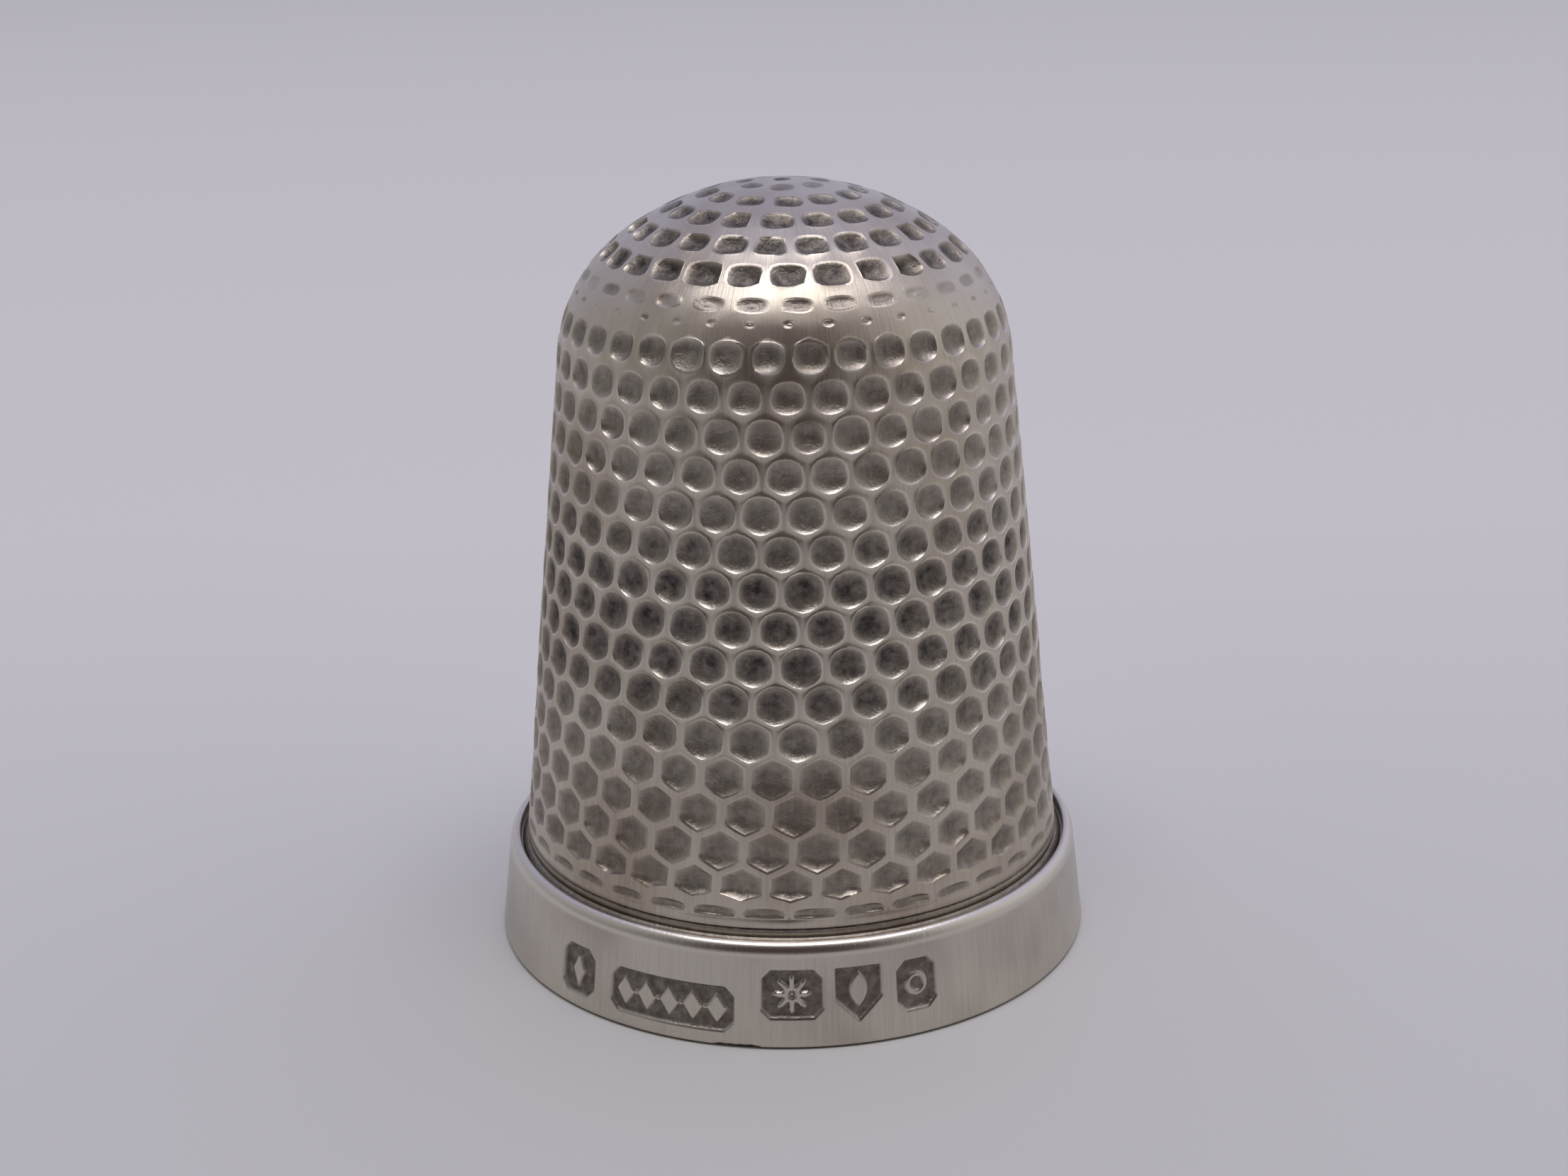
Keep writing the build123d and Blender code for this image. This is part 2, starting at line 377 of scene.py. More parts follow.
# %% The outline of one dimple
HALF_LAND = 0.10 * MM         # half the width of the metal left between crowded dimples
LEAST_LAND = 0.45             # the share of it that is always left
EGG = 0.35                    # added to the squareness at the top, and taken off at the bottom
SMALLEST_SINE = 0.01          # keeps the flat side's formula from dividing by nothing


def rim_radius(row, angle, to_edge):
    """Distance from the dimple's middle to its rim, in one direction."""
    half_width, half_tall = row["width"] / 2, row["tall"] / 2
    across, along = abs(cos(angle)), abs(sin(angle))
    shape = row["square"] + EGG * sin(angle)
    own = ((across / half_width) ** shape + (along / half_tall) ** shape) ** (-1 / shape)
    if row.get("cut_flat") and sin(angle) < 0:
        own = min(half_width, half_tall / max(along, SMALLEST_SINE))
    crowded = to_edge - HALF_LAND
    widest = to_edge - HALF_LAND * (LEAST_LAND + (1 - LEAST_LAND) * row["follow"])
    return min(own + (crowded - own) * row["follow"], widest)


level_reach = rim_radius(ROWS[1], 0.0, pitch / 2)
print(f"a dimple of the lowest full row reaches {level_reach / MM:.2f} mm to each side")

# %% The rings of one dimple
RIM_FOOT = 0.06 * MM          # width of the raised rim's outer slope
RIM_INSIDE = 0.05 * MM        # width of its inner slope
LEAST_BOWL = 0.85             # the share of the radius that the inner slope always leaves
SAG = 0.08                    # how far the floor's middle sits downhill, as a share of the radius
PAINTED_SHADE_SIDE = radians(125)      # the wall given painted shade, up and to the left
RIM_TARNISH = 0.30            # tarnish at the top of the wall, where the floor has 1
EVEN_TARNISH = 0.95           # the share of a row's tarnish that a dimple has all round
SIDE_PAINTED_SHADE = 0.15           # how much painted shade the dark side has on top of the tarnish
EVEN_SHINE = 0.6              # how bright the crest of a full rim is, as polish and painted highlight
SIDE_PAINTED_HIGHLIGHT = 0.4              # how much weaker its painted highlight is on the dark side


def shift_ring(face, cell, ring, wobble):
    """Move a face's outline to a ring of its dimple, given by name or as a share of the radius."""
    row, centre, level, uphill = cell
    depth, left_over, grow, tilt_level, tilt_uphill = wobble
    for vert in face.verts:
        offset = vert[edge_layer]
        angle = atan2(offset.y, offset.x)
        rim = rim_radius(row, angle, offset.length) * grow
        if ring == "rim foot":
            reach, sunk, lift = min(rim + RIM_FOOT, (rim + offset.length) / 2), 0.0, 0.0
        elif ring == "crest":
            reach, sunk, lift = rim, 0.0, row["burr"]
        else:
            part = max(1 - RIM_INSIDE / rim, LEAST_BOWL) if ring == "rim inside" else ring
            reach, sunk = rim * part, 1 - part ** row["flatness"]
            lift = -depth * sunk
        x, y = reach * cos(angle), reach * sin(angle)
        lift += (x * tilt_level + y * tilt_uphill) * sunk
        y -= SAG * row["tall"] / 2 * sunk
        vert.co = press(centre + level * x + uphill * y, lift)
        # 1 on the up-left wall, which is given painted shade, and -1 on the lower right
        side = cos(angle - PAINTED_SHADE_SIDE)
        vert[tarnish_and_shade_layer], vert[crest_layer] = 0.0, 0.0
        if sunk:
            tarnish = row["tarnish"] * left_over * min(1.0, RIM_TARNISH + sunk)
            # tarnish all round, and painted shade as well on the up-left wall
            vert[tarnish_and_shade_layer] = tarnish * (EVEN_TARNISH + SIDE_PAINTED_SHADE * side * part)
        elif ring == "crest":
            raised = min(1.0, row["burr"] / FULL_BURR)
            # the crest's lighter colour is polish and a painted highlight, strongest on the lower right
            vert[crest_layer] = raised * (EVEN_SHINE - SIDE_PAINTED_HIGHLIGHT * side)


print(f"raised rim: {RIM_FOOT / MM:.2f} mm up to its crest, {RIM_INSIDE / MM:.2f} mm down inside")

# %% Press every dimple
BOWL_RINGS = (0.74, 0.50, 0.24)   # shares of the radius
DEPTH_SPREAD = 0.08
WIDTH_SPREAD = 0.035
TILT_SPREAD = 0.09
PIP = 0.022 * MM                  # height of the pip, or depth of the pit, in the floor's middle
DEEPEST_PIT, HIGHEST_PIP = -0.6, 1.4   # as shares of it

wobbles = []
for row, *_ in cells:
    left_over = 1 - random.random() * row["worn"]
    depth = row["depth"] * left_over * random.gauss(1, DEPTH_SPREAD)
    grow = random.gauss(1, WIDTH_SPREAD)
    tilt_level = random.gauss(0, TILT_SPREAD)
    tilt_uphill = random.gauss(0, TILT_SPREAD)
    wobbles.append((depth, left_over, grow, tilt_level, tilt_uphill))

for ring_name in ("rim foot", "crest", "rim inside") + BOWL_RINGS:
    bmesh.ops.inset_individual(cage, faces=list(dimple_faces.values()), thickness=0.0)
    for index, face in dimple_faces.items():
        row, centre, level, uphill = cells[index]
        for vert in face.verts:
            if vert[edge_layer].length == 0.0:
                offset = vert.co - centre
                vert[edge_layer] = Vector((offset.dot(level), offset.dot(uphill), 0.0))
        shift_ring(face, cells[index], ring_name, wobbles[index])
poked = bmesh.ops.poke(cage, faces=list(dimple_faces.values()))
for vert in poked["verts"]:
    vert[tarnish_and_shade_layer] = max(edge.other_vert(vert)[tarnish_and_shade_layer] for edge in vert.link_edges)
    vert.co += tangents(vert.co)[0] * PIP * random.uniform(DEEPEST_PIT, HIGHEST_PIP)
print(f"knurled skin: {len(cage.verts)} points")

# %% [markdown]
# ## The lip, the foot and the bore
#
# Below the knurling a plain lip is turned on the lathe, then the foot steps out to take the
# band, and the sheet turns in to the finger bore. All of it is round, so the skin's open edge
# is extruded again and again, and each new loop of points is moved to the next radius and
# height of the outline. Inside, the same loop climbs the bore and closes over the finger.

# %% The stations of the lip and the foot


def lip_station(height, out, tarnish):
    """A place on the lip that stands out from the side's line, and how dark it is there."""
    return land_radius(height) + out, height, tarnish


# a fine groove is cut round the lip, and each station is darkened by a set amount: darkest in the groove,
# and painted shade in the crevice where the foot meets the band
outside = [
    lip_station(3.47 * MM, 0.009 * MM, 0.0),
    lip_station(3.28 * MM, 0.01 * MM, 0.0),
    lip_station(3.24 * MM, 0.0, 0.3),
    lip_station(3.21 * MM, -0.05 * MM, 1.0),
    lip_station(3.18 * MM, -0.01 * MM, 0.5),
    lip_station(3.10 * MM, 0.015 * MM, 0.15),
    lip_station(3.03 * MM, 0.0, 0.4),
    lip_station(LIP_BOTTOM, -0.01 * MM, 0.6),
    (FOOT_RADIUS - 0.06 * MM, FOOT_TOP + 0.10 * MM, 0.55),
    (FOOT_RADIUS - 0.03 * MM, FOOT_TOP, 1.0),
    (FOOT_RADIUS, FOOT_TOP - 0.03 * MM, 1.0),
    (FOOT_RADIUS, 0.0, 0.0),
]
print(f"lip and foot: {len(outside)} stations down to {FOOT_RADIUS / MM:.2f} mm in radius")

# %% The stations of the bore
BORE_HEIGHTS = (5 * MM, 8 * MM, 11 * MM, 14 * MM, 16 * MM)
ARC_STEPS = 6
inner_foot_radius = FOOT_LAND_RADIUS - WALL / cos(LEAN)
bore_top = (inner_foot_radius - BORE_RADIUS) / TAPER
mouth = [(BORE_RADIUS + BORE_EDGE * (1 - sin(angle)), BORE_EDGE * (1 - cos(angle)))
         for angle in (0.0, pi / 6, pi / 3, pi / 2)]
inside = [(BORE_RADIUS, bore_top)]
inside += [(inner_foot_radius - TAPER * height, height) for height in BORE_HEIGHTS]
for part in range(ARC_STEPS + 1):
    angle = LEAN + (CROWN_EDGE - LEAN) * part / ARC_STEPS
    inside.append((SHOULDER_CENTRE[0] + (SHOULDER_RADIUS - WALL) * cos(angle),
                   SHOULDER_CENTRE[1] + (SHOULDER_RADIUS - WALL) * sin(angle)))
for part in range(1, ARC_STEPS):
    angle = CROWN_EDGE + (pi / 2 - CROWN_EDGE) * part / ARC_STEPS
    inside.append(((CROWN_RADIUS - WALL) * cos(angle),
                   CROWN_CENTRE[1] + (CROWN_RADIUS - WALL) * sin(angle)))
print(f"bore: straight up to {bore_top / MM:.2f} mm, then {len(inside) - 1} stations to the crown")

# %% Extrude the skin's edge down, round the mouth and up the inside
OUTSIDE_SLOT, BORE_SLOT = 0, 1
stations = [(*place, OUTSIDE_SLOT) for place in outside]
stations += [(*place, 0.0, BORE_SLOT) for place in mouth + inside]
loop = [edge for edge in cage.edges if edge.is_boundary]
for radius, height, tarnish, slot_index in stations:
    grown = bmesh.ops.extrude_edge_only(cage, edges=loop)["geom"]
    for item in grown:
        if isinstance(item, bmesh.types.BMVert):
            item.co = spot(atan2(item.co.x, -item.co.y), (radius, height))
            # each station's darkness, which in the crevice above the band is painted shade
            item[tarnish_and_shade_layer] = tarnish
            item[crest_layer] = 0.0
        elif isinstance(item, bmesh.types.BMFace):
            item.material_index = slot_index
    loop = [edge for edge in cage.edges if edge.is_boundary]
lid = bmesh.ops.contextual_create(cage, geom=loop)["faces"]
for face in bmesh.ops.poke(cage, faces=lid)["faces"]:
    face.material_index = BORE_SLOT
bmesh.ops.recalc_face_normals(cage, faces=cage.faces[:])
open_edges = sum(edge.is_boundary for edge in cage.edges)
print(f"cup: {len(cage.faces)} faces, {open_edges} open edges")

# %% Small dents
# every point above the lip moves a little along the line from the middle of the mouth
DENT_SIZE = 0.7 * MM
DENT_DEPTH = 0.026 * MM
for vert in cage.verts:
    if vert.co.z > LIP_TOP:
        dent = noise.noise(vert.co / DENT_SIZE) * DENT_DEPTH
        vert.co = vert.co * (1 + dent / vert.co.length)
print(f"cup with dents of {DENT_DEPTH / MM:.3f} mm: {cage.calc_volume() / MM**3:.0f} cubic mm")

# %% Turn a bmesh into an object


def finish_piece(name, shape, crease):
    """A smooth-shaded object at the origin, with edges sharper than crease left sharp."""
    for face in shape.faces:
        face.smooth = True
    mesh = bpy.data.meshes.new(name)
    shape.to_mesh(mesh)
    shape.free()
    mesh.set_sharp_from_angle(angle=crease)
    piece = bpy.data.objects.new(name, mesh)
    bpy.context.scene.collection.objects.link(piece)
    triangles = sum(len(polygon.vertices) - 2 for polygon in mesh.polygons)
    print(f"{name}: {triangles} triangles")
    return piece


cup = finish_piece("knurled_cup", cage, radians(60))

# %% [markdown]
# ## The band
#
# The band is a strip of thicker silver bent into a ring, soldered shut at the back and soldered
# to the cup's foot. Its outside leans in a little towards the top, and its edges are rounded and
# polished. It is made by spinning a closed outline round the axis, from one side of the seam
# at the back to the other. The front, which carries the punch marks, gets fine columns, because
# the marks are pressed into it afterwards, and the back gets coarse ones.

# %% Sizes of the band
SEAM_WIDTH = 0.12 * MM
BAND_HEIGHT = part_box("rim_band")[1][2]
BAND_BOTTOM_RADIUS = 9.0 * MM
BAND_TOP_RADIUS = 8.62 * MM
BAND_BORE_RADIUS = 8.34 * MM
TOP_EDGE = 0.42 * MM          # height of the rounding, which takes the whole thickness of the strip
BOTTOM_EDGE = 0.14 * MM
INNER_EDGE = 0.05 * MM
band_lean = atan((BAND_BOTTOM_RADIUS - BAND_TOP_RADIUS) / BAND_HEIGHT)


def band_radius(height):
    """The radius of the band's leaning outside at a height."""
    return BAND_BOTTOM_RADIUS - (BAND_BOTTOM_RADIUS - BAND_TOP_RADIUS) * height / BAND_HEIGHT


print(f"band: {BAND_HEIGHT / MM:.2f} mm high, leaning {degrees(band_lean):.1f} degrees")

# %% The band's outline
MARK_ROW = 0.04 * MM          # step between the rows of points that the marks are pressed into
MARKED_BOTTOM = 0.20 * MM     # the lowest of those rows
CORNER_STEPS, TOP_STEPS, INNER_STEPS = 5, 10, 3


def corner_arc(radius, centre, start, end, steps):
    """Points of a rounded corner of the outline, between two angles above the horizontal."""
    angles = [start + (end - start) * step / steps for step in range(steps + 1)]
    return [(centre[0] + radius * cos(a), centre[1] + radius * sin(a)) for a in angles]


low_centre = (band_radius(BOTTOM_EDGE) - BOTTOM_EDGE / cos(band_lean), BOTTOM_EDGE)
top_centre = (BAND_BORE_RADIUS + INNER_EDGE, BAND_HEIGHT - TOP_EDGE)
inner_centre = (BAND_BORE_RADIUS + INNER_EDGE, BAND_HEIGHT - INNER_EDGE)
top_width = band_radius(top_centre[1]) - top_centre[0]
marked_top = top_centre[1] - 0.01 * MM
rows = round((marked_top - MARKED_BOTTOM) / MARK_ROW)
outline = [(BAND_BORE_RADIUS, 0.0)]
outline += corner_arc(BOTTOM_EDGE, low_centre, -pi / 2, band_lean, CORNER_STEPS)
for row in range(rows + 1):
    height = MARKED_BOTTOM + (marked_top - MARKED_BOTTOM) * row / rows
    outline.append((band_radius(height), height))
for step in range(TOP_STEPS + 1):
    angle = pi / 2 * step / TOP_STEPS
    outline.append((top_centre[0] + top_width * cos(angle), top_centre[1] + TOP_EDGE * sin(angle)))
outline += corner_arc(INNER_EDGE, inner_centre, pi / 2, pi, INNER_STEPS)[1:]
print(f"band outline: {len(outline)} points")

# %% Spin it round the mouth
MARKED_FROM, MARKED_TO = radians(-50), radians(29)
FINE_STEP, COARSE_STEP = radians(0.25), radians(2.2)
WELD_DISTANCE = 0.0001 * MM   # joins the points that two spins have in common
seam_turn = SEAM_WIDTH / 2 / BAND_BOTTOM_RADIUS
band = bmesh.new()
start = seam_turn - pi
leading = [band.faces.new([band.verts.new(spot(start, place)) for place in outline])]
for end, step in ((MARKED_FROM, COARSE_STEP), (MARKED_TO, FINE_STEP), (pi - seam_turn, COARSE_STEP)):
    steps = round((end - start) / step)
    spun = bmesh.ops.spin(band, geom=leading, axis=(0, 0, 1), cent=(0, 0, 0), angle=end - start,
                          steps=steps, use_merge=False, use_duplicate=False)
    leading = [item for item in spun["geom_last"] if isinstance(item, bmesh.types.BMFace)]
    start = end
bmesh.ops.remove_doubles(band, verts=band.verts[:], dist=WELD_DISTANCE)
open_edges = sum(edge.is_boundary for edge in band.edges)
print(f"band: {len(band.faces)} faces, {open_edges} open edges, {band.calc_volume() / MM**3:.0f} cubic mm")

# %% [markdown]
# ## Punch marks
#
# Small steel punches struck a row of marks into the band. A punch leaves a sunk floor with a
# device standing up in it. These marks keep the places and outlines of real ones but hold only
# plain ornaments: lozenges, a rosette, a leaf and a ring. Each outline and device is a short
# distance formula, positive inside, and the sunk depth rises smoothly across its edge, which
# gives the soft edges of struck metal that a clean boolean cut would not.

# %% Outlines of the punches
MARK_CORNER = 0.28 * MM
POINT_SHARE = 0.42            # of a pointed tablet's half height, which its point takes twice


def tablet(x, y, half_width, half_height):
    """Distance inside a rectangle with its corners cut off."""
    cut = (half_width + half_height - MARK_CORNER - abs(x) - abs(y)) / 2**0.5
    return min(half_width - abs(x), half_height - abs(y), cut)


def pointed_tablet(x, y, half_width, half_height):
    """Distance inside a tablet with a flat top and a pointed base."""
    point_height = 2 * POINT_SHARE * half_height
    run = hypot(half_width, point_height)
    point = ((y + half_height) * half_width - abs(x) * point_height) / run
    return min(half_width - abs(x), half_height - y, point)


print(f"the middle of a 2 mm tablet is {tablet(0, 0, MM, MM) / MM:.2f} mm inside its edge")

# %% Ornaments
PETALS = 8
PETAL_CUT = 0.28              # how deep the petals are cut, as a share of half the rosette
LOZENGE_PITCH = 0.72 * MM
PELLET = 0.07 * MM            # radius of the pellets between the lozenges
ROSETTE_EYE = 0.10 * MM
ROSETTE_DOT = 0.05 * MM
RING_RADIUS = 0.27 * MM
RING_WIDTH = 0.15 * MM


def lozenge(x, y, half_width, half_height):
    """Distance inside a diamond that stands on its point."""
    return (1 - abs(x) / half_width - abs(y) / half_height) * min(half_width, half_height)


def petals(x, y, radius):
    """Distance inside a ring of petals."""
    return radius * (1 - PETAL_CUT + PETAL_CUT * cos(PETALS * atan2(y, x))) - hypot(x, y)


def leaf(x, y, half_width, half_height):
    """Distance inside an upright leaf with a point at each end."""
    share = 1 - (y / half_height) ** 2
    return half_width * max(share, 0.0) - abs(x) if abs(y) < half_height else -half_width


def one_lozenge(x, y):
    """A single tall lozenge."""
    return lozenge(x, y, 0.24 * MM, 0.52 * MM)


def lozenge_row(x, y):
    """Five lozenges side by side, with a pellet between each two."""
    nearest = min(range(-2, 3), key=lambda n: abs(x - n * LOZENGE_PITCH))
    gap = min(range(-2, 2), key=lambda n: abs(x - (n + 0.5) * LOZENGE_PITCH))
    big = lozenge(x - nearest * LOZENGE_PITCH, y, 0.31 * MM, 0.44 * MM)
    return max(big, PELLET - hypot(x - (gap + 0.5) * LOZENGE_PITCH, y))


def rosette(x, y):
    """Eight petals round a sunk eye with a dot in it."""
    reach = hypot(x, y)
    return max(min(petals(x, y, 0.56 * MM), reach - ROSETTE_EYE), ROSETTE_DOT - reach)


def one_leaf(x, y):
    """A single leaf, set a little high in its pointed tablet."""
    return leaf(x, y - 0.12 * MM, 0.26 * MM, 0.52 * MM)


def ring(x, y):
    """Distance inside a plain ring."""
    return RING_WIDTH / 2 - abs(hypot(x, y) - RING_RADIUS)


ornaments = (one_lozenge, lozenge_row, rosette, one_leaf, ring)
print("ornaments:", [ornament.__name__ for ornament in ornaments])

# %% The row of marks
MARK_DEPTH = 0.10 * MM
MARK_EDGE = 0.08 * MM         # width of the slope from the band down to a mark's floor
RAISED_SHARE = 0.85           # how far an ornament stands back up towards the surface
# left and right in degrees round from the front, low and high edges, outline and ornament
MARKS = [
    (-48.4, -39.6, 0.42 * MM, 1.92 * MM, tablet, one_lozenge),
    (-35.7, -10.7, 0.45 * MM, 1.77 * MM, tablet, lozenge_row),
    (-6.1, 5.4, 0.88 * MM, 2.32 * MM, tablet, rosette),
    (7.3, 16.2, 0.71 * MM, 2.32 * MM, pointed_tablet, one_leaf),
    (18.8, 26.9, 0.77 * MM, 2.28 * MM, tablet, ring),
]


def smooth_step(value):
    """0 below 0, 1 above 1, and a smooth rise between."""
    value = min(max(value, 0.0), 1.0)
    return value * value * (3 - 2 * value)


def mark_depth(turn, height):
    """How far the band is sunk at a place, and how dark its tarnish is there from 0 to 1."""
    for left, right, low, high, outline_of, ornament in MARKS:
        x = (turn - radians(left + right) / 2) * BAND_BOTTOM_RADIUS
        y = height - (low + high) / 2
        half_width = radians(right - left) / 2 * BAND_BOTTOM_RADIUS
        inside_by = outline_of(x, y, half_width, (high - low) / 2)
        if inside_by > 0:
            floor = smooth_step(inside_by / MARK_EDGE)
            raised = smooth_step(ornament(x, y) / MARK_EDGE + 0.5)
            return MARK_DEPTH * floor * (1 - RAISED_SHARE * raised), floor * (1 - raised)
    return 0.0, 0.0


print(f"{len(MARKS)} marks, struck {MARK_DEPTH / MM:.2f} mm deep")

# %% Strike the marks and dent the lower edge
# the nick is cut into the lower edge, and its dark stain is painted shade
NICK_TURN = radians(-10.3)
NICK_HALF = radians(4.4)
NICK_HEIGHT = 0.16 * MM
NICK_DEPTH = 0.15 * MM
NICK_RAGGED = 40              # how many times a radian the nick's depth may change
NICK_EVEN, NICK_UNEVEN = 0.6, 0.8
BAND_DENT_SIZE = 1.6 * MM
BAND_DENT_DEPTH = 0.010 * MM
POLISH_RISE = 0.12 * MM       # height over which the satin side turns into the polished edge and its painted highlight
skin_radius = BAND_BORE_RADIUS + 0.1 * MM   # points nearer the axis belong to the bore
stain_and_shade_layer = band.verts.layers.float.new("sunk")
polish_and_highlight_layer = band.verts.layers.float.new("crest")
for vert in band.verts:
    turn = atan2(vert.co.x, -vert.co.y)
    radius = hypot(vert.co.x, vert.co.y)
    height = vert.co.z
    if radius < skin_radius:
        continue
    sunk, stain = mark_depth(turn, height)
    across = max(0.0, 1 - ((turn - NICK_TURN) / NICK_HALF) ** 4)
    nick = across * max(0.0, 1 - height / NICK_HEIGHT)
    ragged = NICK_EVEN + NICK_UNEVEN * noise.noise(Vector((turn * NICK_RAGGED, 0.0, 3.0)))
    sunk += NICK_DEPTH * nick * ragged
    dent = BAND_DENT_DEPTH * noise.noise(vert.co / BAND_DENT_SIZE)
    vert.co = spot(turn, (radius - sunk + dent * smooth_step(height / MM), height))
    # mark floors keep their tarnish, and the nick gets painted shade
    vert[stain_and_shade_layer] = max(stain, min(1.0, 2 * nick * ragged))
    # the top edge is polished, and its lighter colour is also a painted highlight
    vert[polish_and_highlight_layer] = smooth_step((height - top_centre[1]) / POLISH_RISE)
bmesh.ops.recalc_face_normals(band, faces=band.faces[:])
rim = finish_piece("marked_band", band, radians(50))

# %% [markdown]
# ## Helpers for finishes
#
# Colours are written as the sRGB hex values that a colour picker shows, and shaders want linear
# light, so one function turns one into the other. A second function adds a shader node, with
# its settings and its links, which keeps each finish short enough to read.

# %% Colour and node helpers


def linear(hex_colour):
    """An sRGB hex colour as linear light, with an alpha of 1."""
    values = [int(hex_colour[i:i + 2], 16) / 255 for i in (1, 3, 5)]
    return [v / 12.92 if v <= 0.04045 else ((v + 0.055) / 1.055) ** 2.4 for v in values] + [1.0]


def add_node(tree, kind, inputs=None, **settings):
    """A node with its settings, and its inputs given as values or as other nodes' outputs."""
    made = tree.nodes.new(kind)
    for name, value in settings.items():
        setattr(made, name, value)
    for socket, value in (inputs or {}).items():
        if isinstance(value, bpy.types.NodeSocket):
            tree.links.new(value, made.inputs[socket])
        else:
            made.inputs[socket].default_value = value
    return made


def new_material(name):
    """An empty material and its node tree."""
    made = bpy.data.materials.new(name)
    made.use_nodes = True
    made.node_tree.nodes.clear()
    return made, made.node_tree


def close_material(tree, inputs):
    """The shader that a material ends with."""
    shader = add_node(tree, "ShaderNodeBsdfPrincipled", inputs)
    add_node(tree, "ShaderNodeOutputMaterial", {"Surface": shader.outputs[0]})


def size(millimetres):
    """The scale that gives a noise pattern features of that size."""
    return 1 / (millimetres * MM)


print("middle grey as linear light:", [round(value, 3) for value in linear("#808080")])

# %% [markdown]
# ## Knurled sterling silver
#
# Sterling silver is 92.5% silver. It is a warm, bright metal, and it tarnishes brown and grey
# where nothing rubs it. Handling keeps the lands and the rims of the dimples clean, with fine
# scratches, while the floors stay dark and rough. The mesh carries two values for this: how
# sunk a point is, and how close it is to a rim's crest. Both mix the colour and roughness. The
# sunk value holds painted shade as well as tarnish, and the crest value a painted highlight as
# well as polish.

# %% Scratches that run up the piece
# real scratches are a few hundredths of a millimetre wide, and these are drawn coarser to show
SCRATCH_WIDTH = 0.10
SCRATCH_STRETCH = 0.04        # how much the pattern is drawn out along the piece
SCRATCH_RADIUS = 8.5 * MM     # turns an angle round the piece into a length


def scratch_height(tree, place):
    """Fine scratches: noise that is squeezed round the piece and drawn out along it."""
    split = add_node(tree, "ShaderNodeSeparateXYZ", {0: place})
    turn = add_node(tree, "ShaderNodeMath", {0: split.outputs[0], 1: split.outputs[1]},
                    operation="ARCTAN2")
    around = add_node(tree, "ShaderNodeMath", {0: turn.outputs[0], 1: SCRATCH_RADIUS},
                      operation="MULTIPLY")
    drawn = add_node(tree, "ShaderNodeMath", {0: split.outputs[2], 1: SCRATCH_STRETCH},
                     operation="MULTIPLY")
    flat = add_node(tree, "ShaderNodeCombineXYZ", {0: around.outputs[0], 1: drawn.outputs[0]})
    fine = add_node(tree, "ShaderNodeTexNoise", {
        "Vector": flat.outputs[0], "Scale": size(SCRATCH_WIDTH), "Detail": 6.0, "Roughness": 0.75})
    return fine.outputs["Fac"]


print(f"scratches: {SCRATCH_WIDTH:.2f} mm wide, {SCRATCH_WIDTH / SCRATCH_STRETCH:.1f} mm long")

# %% Worn silver
POLISHED_AND_HIGHLIGHT = "#d9d3c8"          # a rim's crest and the band's top edge, rubbed bright and also a painted highlight
POLISH_SMOOTHER = -0.03       # added to a crest's roughness
MOTTLE_SIZE = 0.30            # of the tarnish's blotches, in millimetres
PATCH_SIZE = 4.0              # of the duller patches on clean metal
PIT_SIZE = 0.09               # of the pits in tarnished metal, drawn coarse enough to show
PIT_DEPTH = 0.05 * MM


